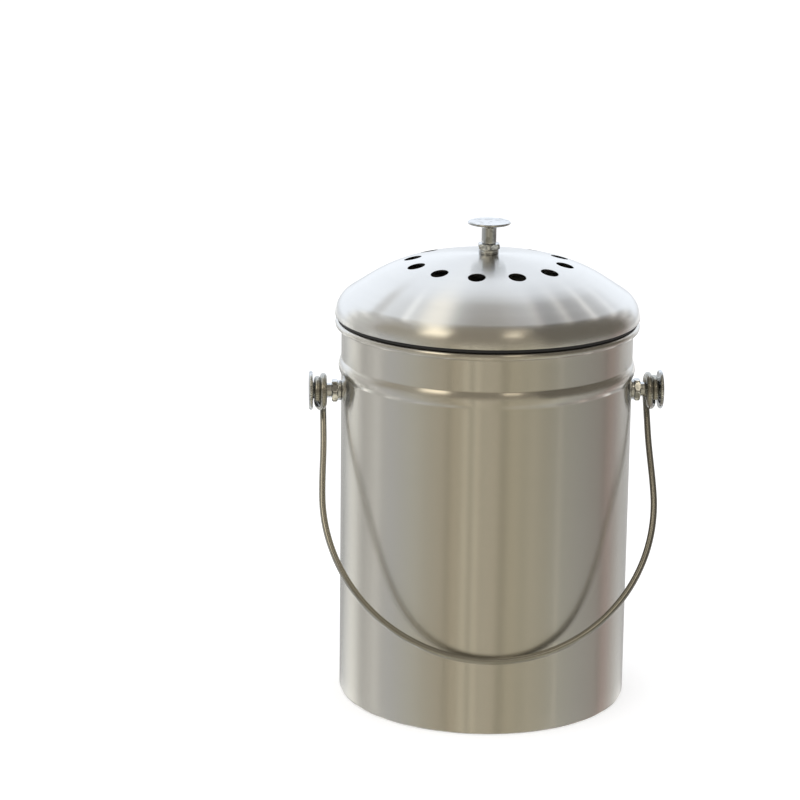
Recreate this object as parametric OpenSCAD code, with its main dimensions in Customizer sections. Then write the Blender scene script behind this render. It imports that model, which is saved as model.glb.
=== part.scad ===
// Kitchen compost caddy: a steel pail with a lift-off domed lid, a charcoal filter and a wire bail.
// Origin at the centre of the foot, +Z up, the bail's posts on the X axis, the front towards -Y.

/* [Pail] */
// Outer diameter of the pail's wall
pail_d = 177; // [165:0.5:190]
// Height from the foot to the top of the rolled rim
pail_h = 235; // [215:0.1:250]
// Thickness of the sheet steel
sheet = 0.8; // [0.6:0.05:1]
// Outer diameter of the rim's round curl
curl_d = 4.6; // [4.2:0.1:5.2]
// Depth of the bead's middle below the rim
bead_drop = 28.7; // [24:0.1:32]
// Height of the raised bead
bead_h = 10; // [7:0.1:12]
// How far the bead stands out of the wall
bead_out = 1.8; // [1:0.1:2.2]
// Outer radius of the turned-in foot's corner
foot_corner = 1.8; // [1.5:0.1:2.5]
// Width of the turned-in foot
foot_w = 5; // [4:0.1:7]
// Height of the base's floor above the foot
base_rise = 4; // [3:0.1:8]

/* [Lid] */
// How far the lid's lower edge stands out beyond the rim
lid_overhang = 0.1; // [0:0.1:1.5]
// Radius of the lid's flat crown
crown_r = 208; // [190:1:240]
// Slope where the crown ends, in degrees
crown_slope = 12.6; // [10:0.1:15]
// Radius of the lid's shoulder
shoulder_r = 87; // [75:1:100]
// Slope of the straight flank, in degrees
flank_slope = 33.3; // [30:0.1:36]
// Radius of the brow that turns the flank into the edge
brow_r = 15; // [12:0.1:18]
// Height of the upright edge below the brow
edge_h = 0.7; // [0.5:0.1:2]
// Number of vents
vent_count = 12; // [8:1:16]
// Diameter of one vent
vent_d = 10.6; // [8:0.1:12]
// Radius of the circle of vents
vent_ring_r = 46.4; // [40:0.1:55]
// Turn of the first vent from the front, in degrees
vent_turn = -13.5; // [-15:0.5:15]
// Depth of the lid ring's skirt below the lid's edge
skirt_h = 11.4; // [9:0.1:16]
// Thickness of the seal under the lid's edge
seal_t = 2.1; // [1.6:0.1:4]
// How far the seal's edge lies inside the lid's edge
seal_inset = 1; // [0.5:0.1:2]
// Depth of the seal's sleeve in the pail's mouth
seal_sleeve_h = 5.6; // [4:0.1:8]

/* [Filter] */
// Diameter of the charcoal filter
filter_d = 140; // [125:1:150]
// Thickness of the charcoal filter
filter_t = 8; // [6:0.1:9]
// Wall thickness of the filter holder
holder_t = 1.8; // [1.4:0.1:2.4]
// Number of slots in the holder's floor
slot_count = 16; // [8:1:20]
// Width of one slot
slot_w = 5; // [3:0.1:7]
// Radius where the slots begin
slot_start_r = 22; // [18:1:30]
// Depth of the finger grip below the holder
grip_h = 7; // [5:0.5:10]

/* [Knobs and posts] */
// Diameter of the knob's and posts' neck
neck_d = 9; // [7:0.1:10]
// Length of the lid knob's neck
knob_neck_h = 9.4; // [8:0.1:14]
// Length of a post's neck
post_neck_h = 10.9; // [9:0.1:12]
// Diameter of the lid knob's head
knob_head_d = 26; // [22:0.5:30]
// Diameter of a post's head
post_head_d = 24; // [20:0.5:28]
// Height of the flare under the lid knob's head
knob_flare_h = 2.4; // [1.5:0.1:4]
// Height of the flare under a post's head
post_flare_h = 0.8; // [0.6:0.1:2]
// Thickness of the lid knob's rim
knob_head_t = 1.6; // [1.2:0.1:2.5]
// Thickness of a post's rim
post_head_t = 2.2; // [1.6:0.1:3]
// Width across the flats of the hexagonal collar
collar_flats = 12.6; // [11:0.1:14]
// Height of the hexagonal collar
collar_h = 3.4; // [2.5:0.1:5]
// Diameter of the round spacer
spacer_d = 12.4; // [11:0.1:14]
// Height of the lid knob's spacer
knob_spacer_h = 2.7; // [2:0.1:5]
// Height of a post's spacer
post_spacer_h = 2.2; // [1.8:0.1:5]
// Depth of the posts' axis below the rim
post_drop = 44.7; // [40:0.1:60]
// Diameter of the screws' shanks
screw_d = 4; // [3:0.1:4.6]
// Length of a screw's thread inside a knob or post
screw_grip = 7; // [5:0.1:7.4]
// Diameter of the screws' heads
screw_head_d = 7.6; // [7:0.1:9]
// Height of the screws' heads
screw_head_h = 2.6; // [2:0.1:3]
// Diameter of the washers
washer_d = 10; // [9.5:0.1:12]
// Thickness of the washers
washer_t = 0.9; // [0.6:0.1:1.2]

/* [Bail] */
// Diameter of the bail's wire
wire_d = 4; // [3:0.1:4]
// Outer diameter of the eye's first turn, next to the leg
eye_od = 23.8; // [23.6:0.1:25]
// Outer diameter of the eye's last turn, next to the post's head
eye_end_od = 20.2; // [19:0.1:20.2]
// Turns of wire in one eye
eye_turns = 1.65; // [1.5:0.05:1.65]
// Distance along the post between the eye's first and last turn
eye_pitch = 3.7; // [3.7:0.1:4.2]
// Reach of the bail from the posts' axis to the middle of its bow
bail_reach = 168.9; // [150:0.1:175]
// Distance below the posts' axis where the legs begin to spread
spread_start = 24; // [20:0.5:30]
// Distance below the posts' axis where the bow begins
bow_start = 65; // [50:0.5:80]
// How far the bow swells beyond the eyes' first turns
bow_swell = 1.3; // [0.5:0.1:4]

/* [Fits] */
// Clearance between parts that move past each other
run_gap = 0.3; // [0.2:0.05:0.5]
// Clearance between parts that are fastened together
seat_gap = 0.05; // [0.02:0.01:0.1]
// Radial clearance of a screw in a plain hole
hole_gap = 0.25; // [0.1:0.05:0.5]

/* [Hidden] */
$fn = 96;

// Over-travel of a cut beyond the face that it opens
cut = 1;
// Number of straight steps in one rounded stretch of an outline
arc_steps = 10;

// Pail
pail_r = pail_d / 2;
mouth_r = pail_r - sheet;
wall_mid_r = pail_r - sheet / 2;
curl_mid_r = (curl_d - sheet) / 2;
curl_centre = [wall_mid_r + curl_mid_r, pail_h - curl_d / 2];
curl_sweep = 290;
bead_z = pail_h - bead_drop;
bead_r = (bead_h * bead_h / 4 + bead_out * bead_out) / (2 * bead_out);
bead_centre_r = wall_mid_r + bead_out - bead_r;
foot_in_r = pail_r - foot_corner - foot_w;
base_r = pail_r - foot_corner - seat_gap;
base_step_w = 3;
base_floor_r = foot_in_r - base_step_w;

// Lid: the profile runs crown, shoulder, flank, brow, edge
lid_r = curl_centre[0] + curl_d / 2 + lid_overhang;
lid_edge_z = pail_h + run_gap + seal_t;
brow_centre = [lid_r - brow_r, lid_edge_z + edge_h];
flank_foot_r = brow_centre[0] + brow_r * sin(flank_slope);
shoulder_centre_r = (crown_r - shoulder_r) * sin(crown_slope);
flank_top_r = shoulder_centre_r + shoulder_r * sin(flank_slope);
flank_rise = (flank_foot_r - flank_top_r) * tan(flank_slope);
flank_top_z = brow_centre[1] + brow_r * cos(flank_slope) + flank_rise;
shoulder_centre_z = flank_top_z - shoulder_r * cos(flank_slope);
crown_centre_z = shoulder_centre_z - (crown_r - shoulder_r) * cos(crown_slope);
lid_top_z = crown_centre_z + crown_r;

// Lid ring, seal and filter, from the mouth of the pail inwards
sleeve_r = mouth_r - run_gap;
sleeve_t = 2;
skirt_r = sleeve_r - sleeve_t;
skirt_in_r = skirt_r - sheet;
skirt_foot_z = lid_edge_z - skirt_h;
holder_r = skirt_in_r - run_gap;
holder_z = skirt_foot_z + 1;
holder_rim_h = lid_edge_z - run_gap - holder_z;
filter_r = filter_d / 2;
filter_z = holder_z + holder_t + seat_gap;
filter_wall_h = 4;
grip_l = 44;

// Knob and posts, stacked outwards from the sheet
neck_r = neck_d / 2;
screw_r = screw_d / 2;
clear_r = screw_r + hole_gap;
tap_r = screw_r + seat_gap;
collar_corner_r = collar_flats / 2 / cos(30);
knob_seat_z = lid_top_z + seat_gap + knob_spacer_h + collar_h;
post_z = pail_h - post_drop;
post_seat_x = pail_r + seat_gap + post_spacer_h + collar_h;
neck_end_x = post_seat_x + post_neck_h;
// A flat washer touches a hollow wall along its two sides
wall_seat_x = sqrt(mouth_r * mouth_r - washer_d * washer_d / 4) - seat_gap;
dome_seat_z = crown_centre_z + crown_r - sheet - seat_gap
    - (crown_r - sqrt(crown_r * crown_r - washer_d * washer_d / 4));

// Bail: each eye hangs on its post's neck by its last turn, so its centre lies below the posts' axis
wire_r = wire_d / 2;
eye_r = (eye_od - wire_d) / 2;
eye_end_r = (eye_end_od - wire_d) / 2;
eye_drop = eye_end_r - wire_r - neck_r - run_gap;
eye_x = neck_end_x - wire_r - eye_pitch;
// The turn where the wire crosses over from the first turn to the last one, and the turns that it takes
cross_start = 0.65;
cross_turns = 0.3;
bow_x = eye_x + bow_swell;
bail_rest_y = pail_r + run_gap + wire_r;
bail_tilt = asin(bail_rest_y / norm([bail_reach, eye_r])) + atan(eye_r / bail_reach);
wire_sides = 10;
eye_steps = 38;
leg_steps = 9;
bow_steps = 34;

// Point at distance r and angle a, measured from straight up, around a centre
function swing(centre, r, a) = centre + r * [sin(a), cos(a)];

// Points of an arc around a centre, from angle a to angle b
function arc(centre, r, a, b, steps = arc_steps) = [for (i = [0:steps]) swing(centre, r, a + (b - a) * i / steps)];

// The list in the other order
function back(list) = [for (i = [len(list) - 1:-1:0]) list[i]];

// Ease from 0 to 1
function ease(t) = t <= 0 ? 0 : t >= 1 ? 1 : t * t * (3 - 2 * t);

// Vector of length one
function unit(v) = v / norm(v);

// One side of the pail's sheet, a distance o outside its middle
function foot_side(o) = concat(
    [[foot_in_r, sheet / 2 - o]],
    arc([pail_r - foot_corner, foot_corner], foot_corner - sheet / 2 + o, 180, 90, 5)
);
function bead_half_angle(o) = acos((wall_mid_r + o - bead_centre_r) / (bead_r + o));
function bead_side(o) = arc([bead_centre_r, bead_z], bead_r + o, 90 + bead_half_angle(o), 90 - bead_half_angle(o));
function curl_side(o) = arc(curl_centre, curl_mid_r - o, -90, curl_sweep - 90, 18);
function wall_side(o) = concat(foot_side(o), bead_side(o), curl_side(o));

// One side of the lid's sheet, a distance i inside its outer face
function dome_side(i) = concat(
    arc([0, crown_centre_z], crown_r - i, 0, crown_slope, 6),
    arc([shoulder_centre_r, shoulder_centre_z], shoulder_r - i, crown_slope, flank_slope, 6),
    arc(brow_centre, brow_r - i, flank_slope, 90, 7),
    [[lid_r - i, lid_edge_z]]
);

// Ring of square section
module ring(r_out, r_in, h) {
    difference() {
        cylinder(r = r_out, h = h);
        translate([0, 0, -cut])
            cylinder(r = r_in, h = h + 2 * cut);
    }
}

// Places its children on the right post's axis, with +Z turned outwards
module on_right(x) {
    translate([x, 0, post_z])
        rotate([0, 90, 0])
            children();
}

// Places its children on the left post's axis, with +Z turned outwards
module on_left(x) {
    translate([-x, 0, post_z])
        rotate([0, -90, 0])
            children();
}

// Turned knob with a tapped blind hole, standing on its seat
module turned_knob(neck_h, head_d, flare_h, head_t) {
    head_r = head_d / 2;
    flare = [for (i = [0:arc_steps]) let (a = 90 * i / arc_steps)
        [neck_r + (head_r - head_t / 2 - neck_r) * (1 - cos(a)), neck_h + flare_h * sin(a)]];
    rim = arc([head_r - head_t / 2, neck_h + flare_h + head_t / 2], head_t / 2, 180, 0, 6);
    difference() {
        rotate_extrude()
            polygon(concat([[0, 0], [neck_r, 0]], flare, rim, [[0, neck_h + flare_h + head_t]]));
        translate([0, 0, -cut])
            cylinder(r = tap_r, h = screw_grip + seat_gap + cut);
    }
}

// Hexagonal collar with its corners turned off
module hex_collar() {
    corner_cut = (collar_corner_r - collar_flats / 2) * 0.8;
    difference() {
        intersection() {
            cylinder(r = collar_corner_r, h = collar_h, $fn = 6);
            rotate_extrude()
                polygon([
                    [0, 0], [collar_corner_r - corner_cut, 0], [collar_corner_r, corner_cut / 2],
                    [collar_corner_r, collar_h - corner_cut / 2], [collar_corner_r - corner_cut, collar_h],
                    [0, collar_h]
                ]);
        }
        translate([0, 0, -cut])
            cylinder(r = clear_r, h = collar_h + 2 * cut);
    }
}

// Pan-head screw pointing up, its head's seat at z = 0
module pan_screw(shank_l) {
    recess_w = 1.1;
    recess_depth = 1.5;
    head_r = screw_head_d / 2;
    edge_r = 1;
    difference() {
        union() {
            cylinder(r = screw_r, h = shank_l);
            rotate_extrude()
                polygon(concat(
                    [[0, 0], [0, -screw_head_h]],
                    arc([head_r - edge_r, edge_r - screw_head_h], edge_r, 180, 90, 5),
                    [[head_r, 0]]
                ));
        }
        for (a = [0, 90])
            rotate([0, 0, a])
                translate([-head_r * 0.55, -recess_w / 2, -screw_head_h - cut])
                    cube([head_r * 1.1, recess_w, recess_depth + cut]);
    }
}

// Flat washer
module flat_washer() {
    ring(washer_d / 2, clear_r, washer_t);
}

module pail_wall() {
    color("silver")
        difference() {
            rotate_extrude()
                polygon(concat(wall_side(sheet / 2), back(wall_side(-sheet / 2))));
            translate([-pail_r - cut, 0, post_z])
                rotate([0, 90, 0])
                    cylinder(r = clear_r, h = pail_d + 2 * cut);
        }
}

module pail_base() {
    low = sheet + seat_gap;
    high = base_rise;
    color("lightgray")
        rotate_extrude()
            polygon([
                [0, high - sheet], [base_floor_r, high - sheet], [foot_in_r, low], [base_r - sheet, low],
                [base_r - sheet, low + sheet], [foot_in_r + sheet / 2, low + sheet],
                [base_floor_r + sheet / 2, high], [0, high]
            ]);
}

module lid_dome() {
    color("gainsboro")
        difference() {
            rotate_extrude()
                polygon(concat(dome_side(0), back(dome_side(sheet))));
            for (i = [0:vent_count - 1])
                rotate([0, 0, vent_turn + 360 * i / vent_count])
                    translate([0, -vent_ring_r, lid_edge_z])
                        cylinder(d = vent_d, h = lid_top_z - lid_edge_z + cut);
            translate([0, 0, lid_top_z - sheet - cut])
                cylinder(r = clear_r, h = sheet + 2 * cut);
        }
}

module lid_ring() {
    color("silver") {
        translate([0, 0, lid_edge_z])
            ring(lid_r - sheet - seat_gap, skirt_in_r, sheet);
        translate([0, 0, skirt_foot_z])
            ring(skirt_r, skirt_in_r, skirt_h);
    }
}

module lid_seal() {
    seal_in_r = skirt_r + seat_gap;
    color([0.08, 0.08, 0.09]) {
        translate([0, 0, lid_edge_z - seal_t])
            ring(lid_r - seal_inset, seal_in_r, seal_t - seat_gap);
        translate([0, 0, lid_edge_z - seal_t - seal_sleeve_h])
            ring(sleeve_r, seal_in_r, seal_sleeve_h);
    }
}

module charcoal_filter() {
    color([0.07, 0.07, 0.07])
        translate([0, 0, filter_z])
            cylinder(r = filter_r, h = filter_t);
}

module filter_holder() {
    slot_l = filter_r - slot_start_r - slot_w;
    color([0.12, 0.12, 0.13])
        translate([0, 0, holder_z]) {
            difference() {
                cylinder(r = holder_r, h = holder_t);
                for (i = [0:slot_count - 1])
                    rotate([0, 0, 360 * (i + 0.5) / slot_count])
                        translate([slot_start_r, -slot_w / 2, -cut])
                            cube([slot_l, slot_w, holder_t + 2 * cut]);
            }
            ring(holder_r, holder_r - holder_t, holder_rim_h);
            ring(filter_r + run_gap + holder_t, filter_r + run_gap, holder_t + filter_wall_h);
            translate([-grip_l / 2, -holder_t, -grip_h])
                cube([grip_l, 2 * holder_t, grip_h]);
        }
}

module lid_knob() {
    color("lightgray")
        translate([0, 0, knob_seat_z])
            turned_knob(knob_neck_h, knob_head_d, knob_flare_h, knob_head_t);
}

module lid_knob_collar() {
    color("silver")
        translate([0, 0, knob_seat_z - collar_h])
            hex_collar();
}

module lid_knob_spacer() {
    color("lightgray")
        translate([0, 0, lid_top_z + seat_gap])
            ring(spacer_d / 2, clear_r, knob_spacer_h);
}

module lid_knob_washer() {
    color("silver")
        translate([0, 0, dome_seat_z - washer_t])
            flat_washer();
}

module lid_knob_screw() {
    head_seat_z = dome_seat_z - washer_t - seat_gap;
    color("gray")
        translate([0, 0, head_seat_z])
            pan_screw(knob_seat_z + screw_grip - head_seat_z);
}

module post() {
    color("lightgray")
        turned_knob(post_neck_h, post_head_d, post_flare_h, post_head_t);
}

module post_spacer() {
    color("lightgray")
        ring(spacer_d / 2, clear_r, post_spacer_h);
}

module post_screw() {
    head_seat_x = wall_seat_x - washer_t - seat_gap;
    color("gray")
        pan_screw(post_seat_x + screw_grip - head_seat_x);
}

module right_post() { on_right(post_seat_x) post(); }
module right_post_collar() { on_right(post_seat_x - collar_h) color("silver") hex_collar(); }
module right_post_spacer() { on_right(pail_r + seat_gap) post_spacer(); }
module right_post_washer() { on_right(wall_seat_x - washer_t) color("silver") flat_washer(); }
module right_post_screw() { on_right(wall_seat_x - washer_t - seat_gap) post_screw(); }

module left_post() { on_left(post_seat_x) post(); }
module left_post_collar() { on_left(post_seat_x - collar_h) color("silver") hex_collar(); }
module left_post_spacer() { on_left(pail_r + seat_gap) post_spacer(); }
module left_post_washer() { on_left(wall_seat_x - washer_t) color("silver") flat_washer(); }
module left_post_screw() { on_left(wall_seat_x - washer_t - seat_gap) post_screw(); }

// The bail hanging straight down from the posts' axis, which is the origin here; side is 1 or -1.
// Both eyes wind outwards. A leg passes behind its post, and turn 0 is where it meets the eye.
function eye_point(side, turn) = let (
    share = ease((turn - cross_start) / cross_turns),
    r = eye_r + (eye_end_r - eye_r) * share
) [side * (eye_x + eye_pitch * share), r * cos(360 * turn), r * sin(360 * turn) - eye_drop];
function eye_path(side) = [for (i = [0:eye_steps]) eye_point(side, eye_turns * i / eye_steps)];

// A leg runs straight down from its eye, then spreads out to the bow
function leg_x(drop) = eye_x + bow_swell * ease((drop - spread_start) / (bow_start - spread_start));
function leg_path(side) = [for (i = [1:leg_steps - 1])
    let (drop = eye_drop + (bow_start - eye_drop) * i / leg_steps)
    [side * leg_x(drop), eye_r, -drop]];

// The bow is half an ellipse, from the right leg to the left one
function bow_path() = [for (i = [0:bow_steps]) let (a = 180 * i / bow_steps)
    [bow_x * cos(a), eye_r, -bow_start - (bail_reach - bow_start) * sin(a)]];

bail_path = concat(back(eye_path(1)), leg_path(1), bow_path(), back(leg_path(-1)), eye_path(-1));

// Direction of a path at one of its points
function heading(path, i) = unit(path[min(i + 1, len(path) - 1)] - path[max(i - 1, 0)]);

// Side vectors that follow the path without twisting
function carry(v, t) = unit(v - (v * t) * t);
function sides_of(path) = [
    for (i = 0, v = carry([1, 0, 0], heading(path, 0)); i < len(path);
        i = i + 1, v = carry(v, heading(path, min(i, len(path) - 1)))) v
];

// Round wire of radius r along a path, closed at both ends
module wire(path, r) {
    last = len(path) - 1;
    side = sides_of(path);
    points = [for (i = [0:last]) let (u = side[i], w = cross(heading(path, i), u))
        for (k = [0:wire_sides - 1]) let (a = 360 * k / wire_sides)
            path[i] + r * (cos(a) * u + sin(a) * w)];
    flanks = [for (i = [0:last - 1]) for (k = [0:wire_sides - 1])
        let (a = i * wire_sides + k, b = i * wire_sides + (k + 1) % wire_sides)
            each [[a, a + wire_sides, b], [b, a + wire_sides, b + wire_sides]]];
    first_cap = [for (k = [0:wire_sides - 1]) k];
    last_cap = [for (k = [wire_sides - 1:-1:0]) last * wire_sides + k];
    polyhedron(points, concat([first_cap], flanks, [last_cap]));
}

module bail_wire() {
    color("darkgray")
        translate([0, 0, post_z])
            rotate([-bail_tilt, 0, 0])
                wire(bail_path, wire_r);
}

pail_wall();
pail_base();
lid_dome();
lid_ring();
lid_seal();
charcoal_filter();
filter_holder();
lid_knob();
lid_knob_collar();
lid_knob_spacer();
lid_knob_washer();
lid_knob_screw();
right_post();
right_post_collar();
right_post_spacer();
right_post_washer();
right_post_screw();
left_post();
left_post_collar();
left_post_spacer();
left_post_washer();
left_post_screw();
bail_wire();
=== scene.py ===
"""Kitchen compost caddy: brushed steel pail, vented domed lid, charcoal filter and wire bail."""

import logging
import math
from dataclasses import dataclass
from enum import Enum
from typing import Callable, Iterable

import bmesh
import bpy
import numpy as np
from mathutils import Matrix, Vector


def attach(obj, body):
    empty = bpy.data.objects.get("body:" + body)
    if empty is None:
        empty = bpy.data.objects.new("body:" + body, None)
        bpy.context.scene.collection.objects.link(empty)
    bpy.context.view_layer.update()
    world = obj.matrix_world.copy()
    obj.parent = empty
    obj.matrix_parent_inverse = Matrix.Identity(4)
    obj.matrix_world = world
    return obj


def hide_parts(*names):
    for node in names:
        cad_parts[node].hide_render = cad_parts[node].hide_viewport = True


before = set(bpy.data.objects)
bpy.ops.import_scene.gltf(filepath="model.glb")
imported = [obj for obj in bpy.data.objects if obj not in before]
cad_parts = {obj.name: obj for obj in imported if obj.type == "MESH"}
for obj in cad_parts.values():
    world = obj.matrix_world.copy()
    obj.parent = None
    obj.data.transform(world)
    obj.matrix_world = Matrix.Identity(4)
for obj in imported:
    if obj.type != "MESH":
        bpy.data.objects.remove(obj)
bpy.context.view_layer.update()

Point = tuple[float, float]
Colour = tuple[float, float, float]

MM = 0.001
SHARP_ANGLE = math.radians(32)
LOG = logging.getLogger("caddy")


# Outlines and turned meshes


def swing(centre: Point, radius: float, angle: float) -> Point:
    """Point at a radius and an angle in degrees, measured from straight up towards the outside."""
    turn = math.radians(angle)
    return centre[0] + radius * math.sin(turn), centre[1] + radius * math.cos(turn)


def arc(centre: Point, radius: float, start: float, end: float, steps: int) -> list[Point]:
    """Points along an arc.

    Args:
        centre: Middle of the arc, in millimetres.
        radius: Its radius, in millimetres.
        start: First angle in degrees, from straight up towards the outside.
        end: Last angle in degrees.
        steps: Number of straight steps.

    Returns:
        The points, both ends included.
    """
    return [swing(centre, radius, start + (end - start) * i / steps) for i in range(steps + 1)]


def rounded(corners: list[Point], radii: list[float], steps: int = 5) -> list[Point]:
    """Rounds the corners of a closed outline.

    Args:
        corners: The outline's corners, in millimetres.
        radii: One rounding radius for each corner; 0 keeps it sharp.
        steps: Straight steps in one rounding.

    Returns:
        The rounded outline.
    """
    outline: list[Point] = []
    count = len(corners)
    for i, radius in enumerate(radii):
        here = Vector(corners[i])
        if radius <= 0:
            outline.append(corners[i])
            continue
        before = (Vector(corners[i - 1]) - here).normalized()
        after = (Vector(corners[(i + 1) % count]) - here).normalized()
        half = before.angle(after) / 2
        reach = radius / math.tan(half)
        middle = here + (before + after).normalized() * (radius / math.sin(half))
        first = here + before * reach - middle
        last = here + after * reach - middle
        for k in range(steps + 1):
            part = first.lerp(last, k / steps)
            bulge = middle + part.normalized() * radius
            outline.append((bulge.x, bulge.y))
    return outline


def counter_clockwise(outline: list[Point]) -> list[Point]:
    """The outline, turned round if it runs clockwise."""
    area = sum(a[0] * b[1] - b[0] * a[1] for a, b in zip(outline, outline[1:] + outline[:1]))
    return outline if area > 0 else outline[::-1]


def smooth(mesh: bpy.types.Mesh) -> bpy.types.Mesh:
    """Shades the mesh smooth apart from its sharp edges."""
    mesh.polygons.foreach_set("use_smooth", [True] * len(mesh.polygons))
    mesh.set_sharp_from_angle(angle=SHARP_ANGLE)
    return mesh


def turned_mesh(name: str, outline: list[Point], segments: int = 192) -> bpy.types.Mesh:
    """Turns a closed outline round the Z axis.

    Args:
        name: Name of the mesh.
        outline: Radius and height of each point, in millimetres. Points on the axis become one vertex.
        segments: Steps of one full turn.

    Returns:
        The closed mesh, in metres, with its faces outwards.
    """
    outline = counter_clockwise(outline)
    mesh = bpy.data.meshes.new(name)
    vertices: list[tuple[float, float, float]] = []
    rows: list[list[int]] = []
    for radius, height in outline:
        on_axis = radius < 1e-6
        turns = 1 if on_axis else segments
        start = len(vertices)
        for k in range(turns):
            angle = 2 * math.pi * k / segments
            vertices.append((radius * MM * math.cos(angle), radius * MM * math.sin(angle), height * MM))
        rows.append([start + (0 if on_axis else k) for k in range(segments)])
    faces: list[tuple[int, ...]] = []
    for low, high in zip(rows, rows[1:] + rows[:1]):
        if low[0] == low[1] and high[0] == high[1]:
            continue
        for k in range(segments):
            after = (k + 1) % segments
            corners = (low[k], low[after], high[after], high[k])
            faces.append(tuple(dict.fromkeys(corners)))
    mesh.from_pydata(vertices, [], faces)
    mesh.validate()
    return smooth(mesh)


def hexagon_mesh(name: str, flats: float, height: float, bore: float, bevel: float) -> bpy.types.Mesh:
    """Hexagonal collar with its corners turned off and a bore, standing on the origin.

    Args:
        name: Name of the mesh.
        flats: Width across the flats, in millimetres.
        height: Height, in millimetres.
        bore: Radius of the bore, in millimetres.
        bevel: Height of the turned-off corners, in millimetres.

    Returns:
        The closed mesh, in metres.
    """
    segments = 96
    corner = flats / 2 / math.cos(math.pi / 6)
    cut = (corner - flats / 2) * 0.8
    levels = [(0.0, corner - cut), (bevel / 2, corner - cut / 2), (bevel, corner)]
    levels += [(height - z, limit) for z, limit in reversed(levels)]
    vertices: list[tuple[float, float, float]] = []
    faces: list[tuple[int, ...]] = []
    for z, limit in levels:
        for k in range(segments):
            angle = 2 * math.pi * k / segments
            off_flat = (angle + math.pi / 6) % (math.pi / 3) - math.pi / 6
            radius = min(flats / 2 / math.cos(off_flat), limit)
            vertices.append((radius * MM * math.cos(angle), radius * MM * math.sin(angle), z * MM))
    for z in (height, 0.0):
        for k in range(segments):
            angle = 2 * math.pi * k / segments
            vertices.append((bore * MM * math.cos(angle), bore * MM * math.sin(angle), z * MM))
    rows = [[row * segments + k for k in range(segments)] for row in range(len(levels) + 2)]
    for low, high in zip(rows, rows[1:] + rows[:1]):
        for k in range(segments):
            after = (k + 1) % segments
            faces.append((low[k], low[after], high[after], high[k]))
    mesh = bpy.data.meshes.new(name)
    mesh.from_pydata(vertices, [], faces)
    mesh.validate()
    return smooth(mesh)


# Node trees


class Socket:
    """An output of a node that takes part in Python expressions."""

    def __init__(self, graph: "Graph", output: bpy.types.NodeSocket) -> None:
        """Wraps an output of a node in a graph."""
        self.graph = graph
        self.output = output

    def math(self, operation: str, *values: "Socket | float") -> "Socket":
        """Adds a Math node on these values."""
        return self.graph.node("ShaderNodeMath", {"operation": operation}, dict(enumerate(values)))

    def __add__(self, other: "Socket | float") -> "Socket":
        """Sum."""
        return self.math("ADD", self, other)

    def __radd__(self, other: float) -> "Socket":
        """Sum with a number on the left."""
        return self.math("ADD", other, self)

    def __sub__(self, other: "Socket | float") -> "Socket":
        """Difference."""
        return self.math("SUBTRACT", self, other)

    def __rsub__(self, other: float) -> "Socket":
        """Difference with a number on the left."""
        return self.math("SUBTRACT", other, self)

    def __mul__(self, other: "Socket | float") -> "Socket":
        """Product."""
        return self.math("MULTIPLY", self, other)

    def __rmul__(self, other: float) -> "Socket":
        """Product with a number on the left."""
        return self.math("MULTIPLY", other, self)

    def __truediv__(self, other: "Socket | float") -> "Socket":
        """Quotient."""
        return self.math("DIVIDE", self, other)

    def __rtruediv__(self, other: float) -> "Socket":
        """Quotient with a number on the left."""
        return self.math("DIVIDE", other, self)

    def eased(self, low: float, high: float) -> "Socket":
        """Smooth step from 0 at low to 1 at high."""
        settings = {"interpolation_type": "SMOOTHSTEP"}
        inputs = {"Value": self, "From Min": low, "From Max": high}
        return self.graph.node("ShaderNodeMapRange", settings, inputs)


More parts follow.
